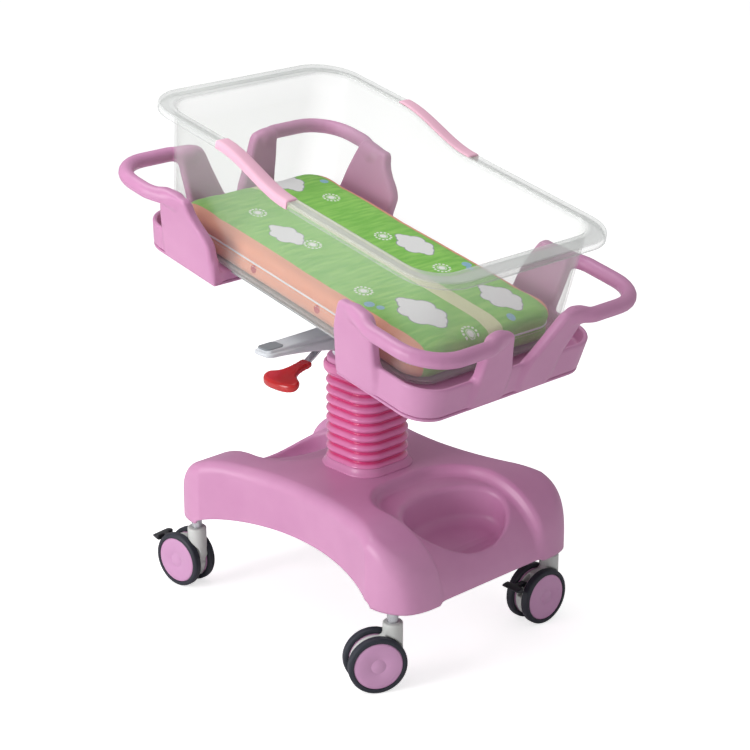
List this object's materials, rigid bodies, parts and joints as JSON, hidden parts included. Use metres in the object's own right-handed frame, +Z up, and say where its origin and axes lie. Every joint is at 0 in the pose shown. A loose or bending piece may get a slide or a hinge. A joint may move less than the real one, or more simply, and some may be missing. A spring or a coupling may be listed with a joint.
{
  "type": "hospital bassinet",
  "caption": "Clear lift-out baby tub with a mattress on a tilting deck, carried by a height-adjustable column on a waisted base with twin-wheel swivel casters.",
  "frame": {"origin": "on the floor, below the middle of the rectangle of the four caster stems", "axes": "+Z up; +X along the base towards the low foot end of the tub; -Y is the side with the release lever"},
  "size_m": [0.8089, 0.5336, 0.8953],
  "materials": {
    "pink_moulding": "fine satin texture",
    "disc_pink": "satin",
    "painted_steel": "satin paint",
    "bright_steel": "bright",
    "chrome_rod": "polished",
    "housing_grey": "satin",
    "tyre_navy": "satin rubber",
    "pedal_black": "satin",
    "bellows_pink": "glossy",
    "cover_pink": "gloss",
    "head_grey": "satin paint",
    "pad_grey": "matt",
    "lever_red": "gloss",
    "panel_grey": "satin",
    "clear_tub": "clear, polished",
    "strip_pink": "satin",
    "mattress_cover": "woven print",
    "bush_white": "matt",
    "washer_brass": "plain"
  },
  "bodies": {
    "base": {"base_shell": "pink_moulding", "chassis": "painted_steel", "caster_stems": "bright_steel", "bellows_collar": "cover_pink", "collar_screws": "bright_steel", "bellows": "bellows_pink", "outer_column": "painted_steel", "guide_bush": "bush_white", "gas_spring_body": "painted_steel"},
    "mast": {"inner_column": "bright_steel", "column_cover": "cover_pink", "bellows_top_ring": "cover_pink", "gas_spring_rod": "chrome_rod", "tilt_head": "head_grey", "grip_pad": "pad_grey", "lever_pin": "bright_steel", "tilt_pin": "bright_steel", "friction_washers": "washer_brass"},
    "valve_pin": {"valve_pin": "bright_steel"},
    "release_lever": {"lever_bar": "bright_steel", "lever_paddle": "lever_red"},
    "bed": {"deck_frame": "painted_steel", "deck_panel": "panel_grey", "foot_tray": "pink_moulding", "head_tray": "pink_moulding", "foot_tray_base": "pink_moulding", "head_tray_base": "pink_moulding", "handle_foot_near": "pink_moulding", "handle_foot_far": "pink_moulding", "handle_head_near": "pink_moulding", "handle_head_far": "pink_moulding", "tray_screws": "bright_steel"},
    "tub": {"tub": "clear_tub", "grip_strip_near": "strip_pink", "grip_strip_far": "strip_pink"},
    "mattress": {"mattress": "mattress_cover"},
    "swivel_head_near": {"caster_fork_head_near": "housing_grey", "caster_axle_head_near": "bright_steel", "brake_pin_head_near": "bright_steel"},
    "wheels_head_near": {"tyres_head_near": "tyre_navy", "wheel_discs_head_near": "disc_pink"},
    "pedal_head_near": {"brake_pedal_head_near": "pedal_black"},
    "swivel_foot_near": {"caster_fork_foot_near": "housing_grey", "caster_axle_foot_near": "bright_steel"},
    "wheels_foot_near": {"tyres_foot_near": "tyre_navy", "wheel_discs_foot_near": "disc_pink"},
    "swivel_foot_far": {"caster_fork_foot_far": "housing_grey", "caster_axle_foot_far": "bright_steel", "brake_pin_foot_far": "bright_steel"},
    "wheels_foot_far": {"tyres_foot_far": "tyre_navy", "wheel_discs_foot_far": "disc_pink"},
    "pedal_foot_far": {"brake_pedal_foot_far": "pedal_black"},
    "swivel_head_far": {"caster_fork_head_far": "housing_grey", "caster_axle_head_far": "bright_steel"},
    "wheels_head_far": {"tyres_head_far": "tyre_navy", "wheel_discs_head_far": "disc_pink"}
  },
  "joints": [
    {"name": "height_slide", "type": "slide", "parent": "base", "child": "mast", "axis": [0, 0, 1], "range_m": [-0.07, 0.06], "deforming": ["bellows"]},
    {"name": "tilt_hinge", "type": "hinge", "parent": "mast", "child": "bed", "pos_m": [-0.008, 0, 0.512], "axis": [0, 1, 0], "range_deg": [-23.5, 0.5]},
    {"name": "tub_lift", "type": "slide", "parent": "bed", "child": "tub", "axis": [0.1994, 0, 0.9799], "range_m": [0, 0.25]},
    {"name": "mattress_lift", "type": "slide", "parent": "tub", "child": "mattress", "axis": [0.1994, 0, 0.9799], "range_m": [0, 0.28]},
    {"name": "lever_hinge", "type": "hinge", "parent": "mast", "child": "release_lever", "pos_m": [-0.008, -0.062, 0.491], "axis": [-1, 0, 0], "range_deg": [0, 7], "stiffness_Nm_per_rad": 1, "springref_deg": -8.59},
    {"name": "valve_slide", "type": "slide", "parent": "mast", "child": "valve_pin", "axis": [0, 0, -1], "range_m": [0, 0.0085]},
    {"name": "swivel_head_near", "type": "hinge", "parent": "base", "child": "swivel_head_near", "pos_m": [-0.255, -0.1895, 0.117], "axis": [0, 0, 1], "continuous": true},
    {"name": "roll_head_near", "type": "hinge", "parent": "swivel_head_near", "child": "wheels_head_near", "pos_m": [-0.28478, -0.19316, 0.05], "axis": [0.1219, -0.9925, 0], "continuous": true},
    {"name": "brake_head_near", "type": "hinge", "parent": "swivel_head_near", "child": "pedal_head_near", "pos_m": [-0.30264, -0.19535, 0.067], "axis": [0.1219, -0.9925, 0], "range_deg": [0, 12]},
    {"name": "swivel_foot_near", "type": "hinge", "parent": "base", "child": "swivel_foot_near", "pos_m": [0.255, -0.1895, 0.117], "axis": [0, 0, 1], "continuous": true},
    {"name": "roll_foot_near", "type": "hinge", "parent": "swivel_foot_near", "child": "wheels_foot_near", "pos_m": [0.24046, -0.21574, 0.05], "axis": [0.8746, -0.4848, 0], "continuous": true},
    {"name": "swivel_foot_far", "type": "hinge", "parent": "base", "child": "swivel_foot_far", "pos_m": [0.255, 0.1895, 0.117], "axis": [0, 0, 1], "continuous": true},
    {"name": "roll_foot_far", "type": "hinge", "parent": "swivel_foot_far", "child": "wheels_foot_far", "pos_m": [0.25395, 0.15952, 0.05], "axis": [0.9994, -0.0349, 0], "continuous": true},
    {"name": "brake_foot_far", "type": "hinge", "parent": "swivel_foot_far", "child": "pedal_foot_far", "pos_m": [0.25332, 0.14153, 0.067], "axis": [0.9994, -0.0349, 0], "range_deg": [0, 12]},
    {"name": "swivel_head_far", "type": "hinge", "parent": "base", "child": "swivel_head_far", "pos_m": [-0.255, 0.1895, 0.117], "axis": [0, 0, 1], "continuous": true},
    {"name": "roll_head_far", "type": "hinge", "parent": "swivel_head_far", "child": "wheels_head_far", "pos_m": [-0.28219, 0.20218, 0.05], "axis": [-0.4226, -0.9063, 0], "continuous": true}
  ],
  "couplings": [
    {"joint": "valve_slide", "follows": "lever_hinge", "m_per_rad": 0.0655}
  ]
}
